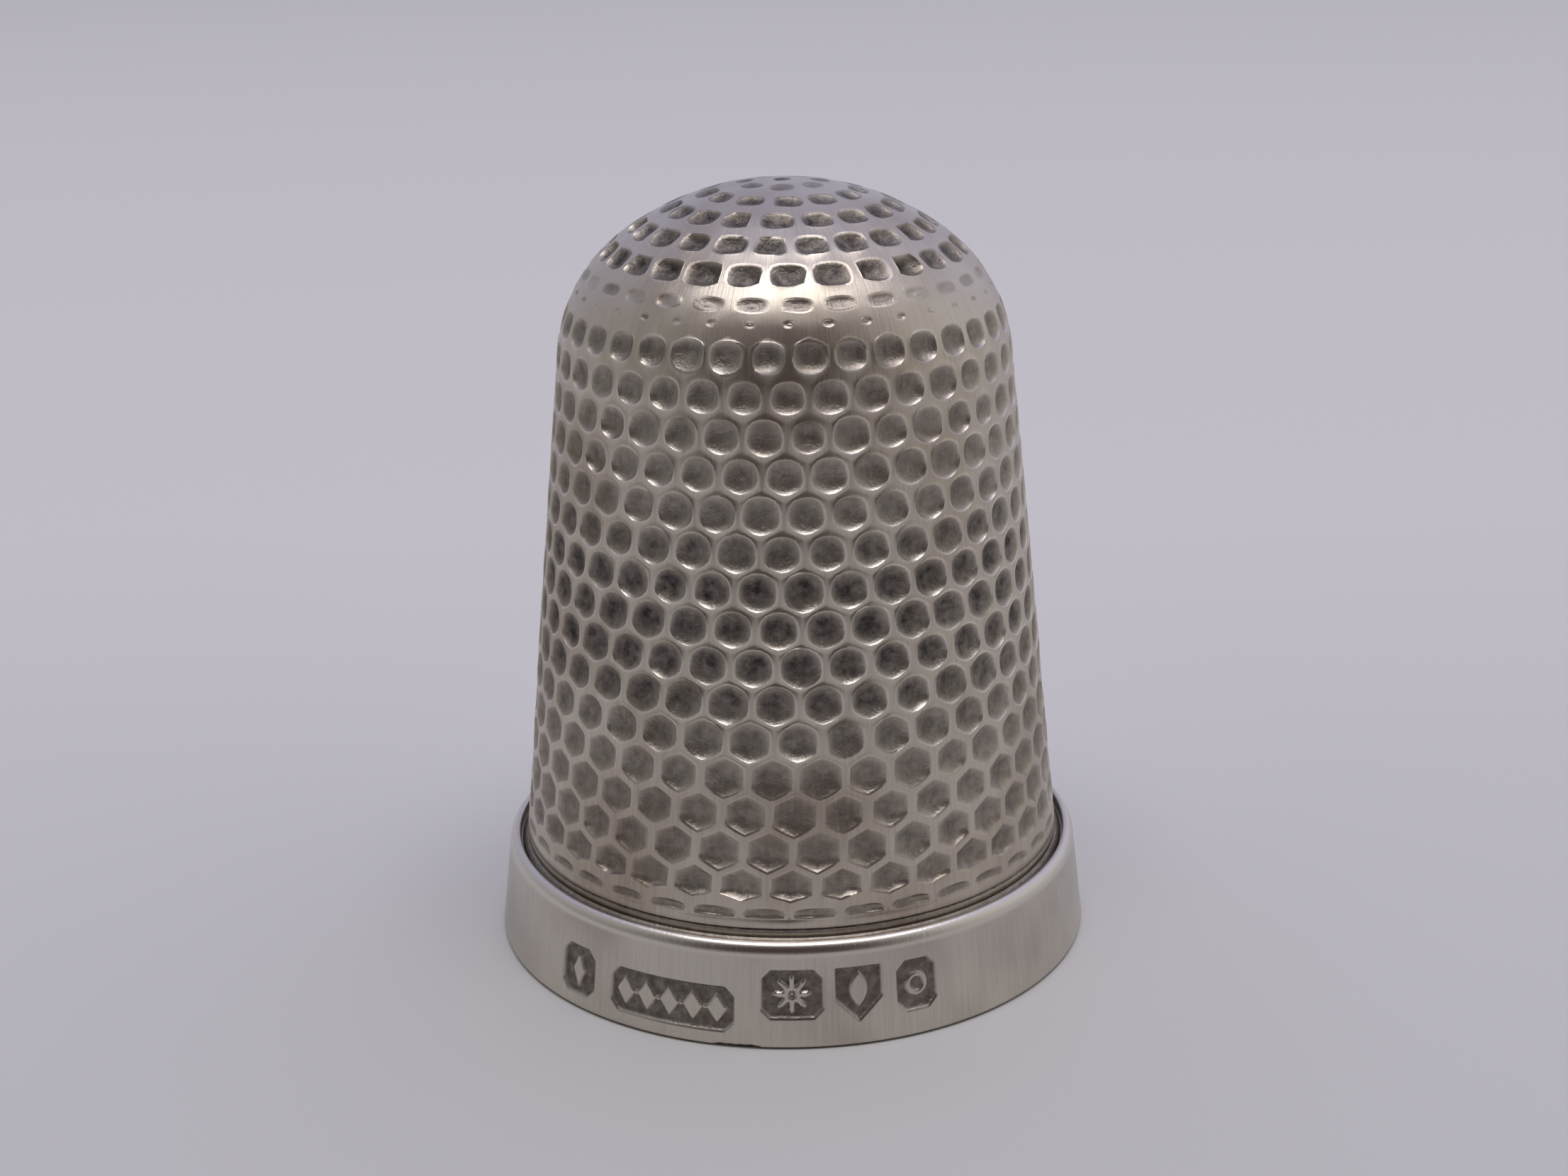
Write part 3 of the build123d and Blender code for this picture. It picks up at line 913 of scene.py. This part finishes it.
def silver(name, land, floor, patches, land_rough, floor_rough, scratch_depth):
    """Worn silver, clean on its lands and tarnished where it is sunk, with the painted shade and painted
    highlight that the mesh's values carry.
    """
    made, tree = new_material(name)
    place = add_node(tree, "ShaderNodeTexCoord").outputs["Object"]
    sunk = add_node(tree, "ShaderNodeAttribute", attribute_name="sunk").outputs["Fac"]
    crest = add_node(tree, "ShaderNodeAttribute", attribute_name="crest").outputs["Fac"]
    mottle = add_node(tree, "ShaderNodeTexNoise", {
        "Vector": place, "Scale": size(MOTTLE_SIZE), "Detail": 5.0, "Roughness": 0.65})
    broad = add_node(tree, "ShaderNodeTexNoise", {
        "Vector": place, "Scale": size(PATCH_SIZE), "Detail": 2.0})
    pits = add_node(tree, "ShaderNodeTexNoise", {
        "Vector": place, "Scale": size(PIT_SIZE), "Detail": 4.0, "Roughness": 0.6})
    scratches = scratch_height(tree, place)
    # clean metal, with duller patches and streaks
    patch = add_node(tree, "ShaderNodeMapRange", {
        "Value": broad.outputs["Fac"], "From Min": 0.45, "From Max": 0.7, "To Min": 0.0, "To Max": 0.6})
    streak = add_node(tree, "ShaderNodeMapRange", {
        "Value": scratches, "From Min": 0.35, "From Max": 0.65, "To Min": 0.25, "To Max": -0.15})
    dulled = add_node(tree, "ShaderNodeMath", {0: patch.outputs[0], 1: streak.outputs[0]},
                      operation="ADD", use_clamp=True)
    clean = add_node(tree, "ShaderNodeMix", {0: dulled.outputs[0], 6: linear(land), 7: linear(patches)},
                     data_type="RGBA")
    # tarnish where the metal is sunk, in uneven blotches, and the painted shade that the sunk value also
    # carries
    uneven = add_node(tree, "ShaderNodeMapRange", {
        "Value": mottle.outputs["Fac"], "From Min": 0.3, "From Max": 0.7, "To Min": 0.60, "To Max": 1.12})
    dark = add_node(tree, "ShaderNodeMath", {0: sunk, 1: uneven.outputs[0]},
                    operation="MULTIPLY", use_clamp=True)
    tarnished = add_node(tree, "ShaderNodeMix", {
        0: dark.outputs[0], 6: clean.outputs[2], 7: linear(floor)}, data_type="RGBA")
    # crests take the polished colour, which is also a painted highlight
    colour = add_node(tree, "ShaderNodeMix", {0: crest, 6: tarnished.outputs[2], 7: linear(POLISHED_AND_HIGHLIGHT)},
                      data_type="RGBA")
    rough = add_node(tree, "ShaderNodeMapRange", {
        "Value": dark.outputs[0], "To Min": land_rough, "To Max": floor_rough})
    sheen = add_node(tree, "ShaderNodeMath", {0: crest, 1: POLISH_SMOOTHER, 2: rough.outputs[0]},
                     operation="MULTIPLY_ADD")
    # scratches everywhere, and pits where it is tarnished
    pitted = add_node(tree, "ShaderNodeMath", {0: pits.outputs["Fac"], 1: sunk}, operation="MULTIPLY")
    scratched = add_node(tree, "ShaderNodeBump", {
        "Height": scratches, "Distance": scratch_depth, "Strength": 0.8})
    worn = add_node(tree, "ShaderNodeBump", {
        "Height": pitted.outputs[0], "Distance": PIT_DEPTH, "Strength": 0.8,
        "Normal": scratched.outputs[0]})
    close_material(tree, {"Base Color": colour.outputs[2], "Metallic": 1.0,
                          "Roughness": sheen.outputs[0], "Normal": worn.outputs[0]})
    print(f"{name}: {len(tree.nodes)} nodes")
    return made


knurled_silver = silver("worn_knurled_sterling_silver", land="#ccc3b3", floor="#3f3b3b",
                        patches="#a39481", land_rough=0.32, floor_rough=0.50,
                        scratch_depth=0.012 * MM)
cup.data.materials.append(knurled_silver)

# %% [markdown]
# ## The bore, the band and the solder
#
# The inside of the cup was drawn over a steel punch and rubs on a finger, so it is smoother and
# has fainter scratches than the outside. The band is thicker metal with a satin finish and
# upright scratches, and its top edge is polished. Silver solder holds more copper and zinc, so
# it looks greyer and a little yellow. All three are the same worn silver with other values.

# %% The other finishes
bore_silver = silver("drawn_silver_bore", land="#c9c2b0", floor="#7d7465", patches="#ada28e",
                     land_rough=0.34, floor_rough=0.44, scratch_depth=0.002 * MM)
cup.data.materials.append(bore_silver)
band_silver = silver("satin_sterling_silver_band", land="#cfc9bc", floor="#726a64",
                     patches="#a89e92", land_rough=0.27, floor_rough=0.46,
                     scratch_depth=0.012 * MM)
rim.data.materials.append(band_silver)
solder = silver("silver_solder", land="#8f8673", floor="#544b41", patches="#7c7260",
                land_rough=0.42, floor_rough=0.46, scratch_depth=0.003 * MM)
for node_name in ("rim_solder_ring", "band_closing_seam"):
    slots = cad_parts[node_name].data.materials
    slots.clear()
    slots.append(solder)

# %% [markdown]
# ## Table, light and camera
#
# The thimble stands on a large sheet of pale matt paper, with a painted shadow of the camera
# darkening it towards the front. A wide soft light hangs almost straight above, which is what
# draws the bright line along the shoulder and the band's edge.
# Silver only shows what is around it, so the room matters as much as the lamp. It is a pale
# grey, a little bluer above and brighter on the right, with a darker area in front that the
# front of the thimble reflects. A plain wall hides it, so that a picture from any side has the
# same pale background.

# %% The table
TABLE_WIDTH = 3.0
TABLE_BACK = 1.2              # how far back its middle is
TABLE_GAP = 0.01 * MM         # keeps its face clear of the thimble's flat foot
CLOUD_SIZE = 14.0             # of the paper's faint clouds, in millimetres
bpy.ops.mesh.primitive_plane_add(size=TABLE_WIDTH, location=(0.0, TABLE_BACK, -TABLE_GAP))
bpy.ops.object.transform_apply(location=True)
table = bpy.context.object
table.name = "paper_table"
paper, paper_tree = new_material("matt_lavender_grey_paper_with_painted_shadow")
spread = add_node(paper_tree, "ShaderNodeTexCoord").outputs["Object"]
fibre = add_node(paper_tree, "ShaderNodeTexNoise", {
    "Vector": spread, "Scale": size(CLOUD_SIZE), "Detail": 3.0})
ahead = add_node(paper_tree, "ShaderNodeSeparateXYZ", {0: spread}).outputs[1]
# the paper is darker towards the front: a painted shadow of the camera, with faint clouds over it
far = add_node(paper_tree, "ShaderNodeMapRange", {
    "Value": ahead, "From Min": -35 * MM, "From Max": 45 * MM})
painted_shadow_and_clouds = add_node(paper_tree, "ShaderNodeMath", {0: fibre.outputs["Fac"], 1: 0.12, 2: far.outputs[0]},
                   operation="MULTIPLY_ADD")
paper_tint_with_painted_shadow = add_node(paper_tree, "ShaderNodeMix", {
    0: painted_shadow_and_clouds.outputs[0], 6: linear("#c4c3c0"), 7: linear("#d6d4d0")}, data_type="RGBA")
close_material(paper_tree, {"Base Color": paper_tint_with_painted_shadow.outputs[2], "Roughness": 0.9, "Specular IOR Level": 0.2})
table.data.materials.append(paper)
print(f"paper: {TABLE_WIDTH:.1f} m wide, {TABLE_GAP / MM:.2f} mm below the thimble")

# %% The room that the silver reflects
OVERHEAD = (0.0, 0.64, 0.77)        # the direction of the room's bright part, above and behind
IN_FRONT = (0.0, -0.935, 0.355)     # the direction of its dark part
world = bpy.data.worlds.new("studio")
bpy.context.scene.world = world
world.use_nodes = True
room = world.node_tree
room.nodes.clear()
heading = add_node(room, "ShaderNodeTexCoord").outputs["Generated"]
rightness = add_node(room, "ShaderNodeSeparateXYZ", {0: heading}).outputs[0]
overhead = add_node(room, "ShaderNodeVectorMath", {0: heading, 1: OVERHEAD}, operation="DOT_PRODUCT")
frontness = add_node(room, "ShaderNodeVectorMath", {0: heading, 1: IN_FRONT}, operation="DOT_PRODUCT")
brightness = add_node(room, "ShaderNodeMapRange", {
    "Value": overhead.outputs["Value"], "From Min": -0.2, "From Max": 0.95, "To Min": 0.28,
    "To Max": 0.66})
sideways = add_node(room, "ShaderNodeMapRange", {
    "Value": rightness, "From Min": -1.0, "From Max": 1.0, "To Min": 0.94, "To Max": 1.66})
strength = add_node(room, "ShaderNodeMath", {0: brightness.outputs[0], 1: sideways.outputs[0]},
                    operation="MULTIPLY")
blueness = add_node(room, "ShaderNodeMapRange", {
    "Value": overhead.outputs["Value"], "From Min": 0.2, "From Max": 0.95})
pale = add_node(room, "ShaderNodeMix", {
    0: blueness.outputs[0], 6: linear("#f4f1f2"), 7: linear("#ced0f4")}, data_type="RGBA")
darkness = add_node(room, "ShaderNodeMapRange", {
    "Value": frontness.outputs["Value"], "From Min": 0.60, "From Max": 0.86},
    interpolation_type="SMOOTHSTEP")
shaded = add_node(room, "ShaderNodeMix", {
    0: darkness.outputs[0], 6: pale.outputs[2], 7: linear("#6c5b5e")}, data_type="RGBA")
reflected = add_node(room, "ShaderNodeBackground", {
    "Color": shaded.outputs[2], "Strength": strength.outputs[0]})
print("nodes in the room:", len(room.nodes))

# %% The plain wall behind the table
# rays that come straight from the camera meet the wall, and reflected ones meet the room
plain_wall = add_node(room, "ShaderNodeBackground", {"Color": linear("#b8b4bb")})
seen = add_node(room, "ShaderNodeLightPath").outputs["Is Camera Ray"]
either = add_node(room, "ShaderNodeMixShader", {
    0: seen, 1: reflected.outputs[0], 2: plain_wall.outputs[0]})
add_node(room, "ShaderNodeOutputWorld", {"Surface": either.outputs[0]})
print("nodes with the wall:", len(room.nodes))

# %% The lamp
LAMP_PLACE = Vector((0.02, -0.22, 1.10))
lamp = bpy.data.lights.new("overhead_window", "AREA")
lamp.shape = "RECTANGLE"
lamp.size, lamp.size_y = 0.90, 0.50
lamp.energy = 5.2
lamp.color = linear("#fdfaff")[:3]
lamp_holder = bpy.data.objects.new("overhead_window", lamp)
lamp_holder.location = LAMP_PLACE
aim = Vector((0, 0, HEIGHT / 2)) - LAMP_PLACE
lamp_holder.rotation_euler = aim.to_track_quat("-Z", "Y").to_euler()
bpy.context.scene.collection.objects.link(lamp_holder)
print(f"{lamp.name}: {lamp.size:.2f} by {lamp.size_y:.2f} m, {lamp.energy:.1f} W")

# %% The camera
CAMERA_PLACE = Vector((0.0, -63.38, 31.90)) * MM
CAMERA_PITCH = 0.3267         # down from level
CAMERA_YAW = -0.0019
CAMERA_ROLL = -0.0152
camera_data = bpy.data.cameras.new("camera")
camera_data.sensor_width = 36.0
camera_data.lens = 51.35
camera_data.clip_start = 0.001
camera = bpy.data.objects.new("camera", camera_data)
ahead = Vector((sin(CAMERA_YAW), cos(CAMERA_YAW), 0.0))
forward = ahead * cos(CAMERA_PITCH) - Vector((0.0, 0.0, sin(CAMERA_PITCH)))
level = Vector((cos(CAMERA_YAW), -sin(CAMERA_YAW), 0.0))
above = level.cross(forward)
right_side = level * cos(CAMERA_ROLL) + above * sin(CAMERA_ROLL)
top_side = above * cos(CAMERA_ROLL) - level * sin(CAMERA_ROLL)
turned = Matrix((right_side, top_side, -forward)).transposed().to_4x4()
camera.matrix_world = Matrix.Translation(CAMERA_PLACE) @ turned
bpy.context.scene.collection.objects.link(camera)
bpy.context.scene.camera = camera
bpy.context.scene.view_settings.view_transform = "Standard"
print(f"camera: {camera_data.lens:.2f} mm lens, {CAMERA_PLACE.length / MM:.0f} mm from the mouth")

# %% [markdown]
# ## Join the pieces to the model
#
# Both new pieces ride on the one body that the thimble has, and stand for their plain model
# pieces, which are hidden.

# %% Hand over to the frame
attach(cup, "root")
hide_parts("thimble_body")
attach(rim, "root")
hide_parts("rim_band")
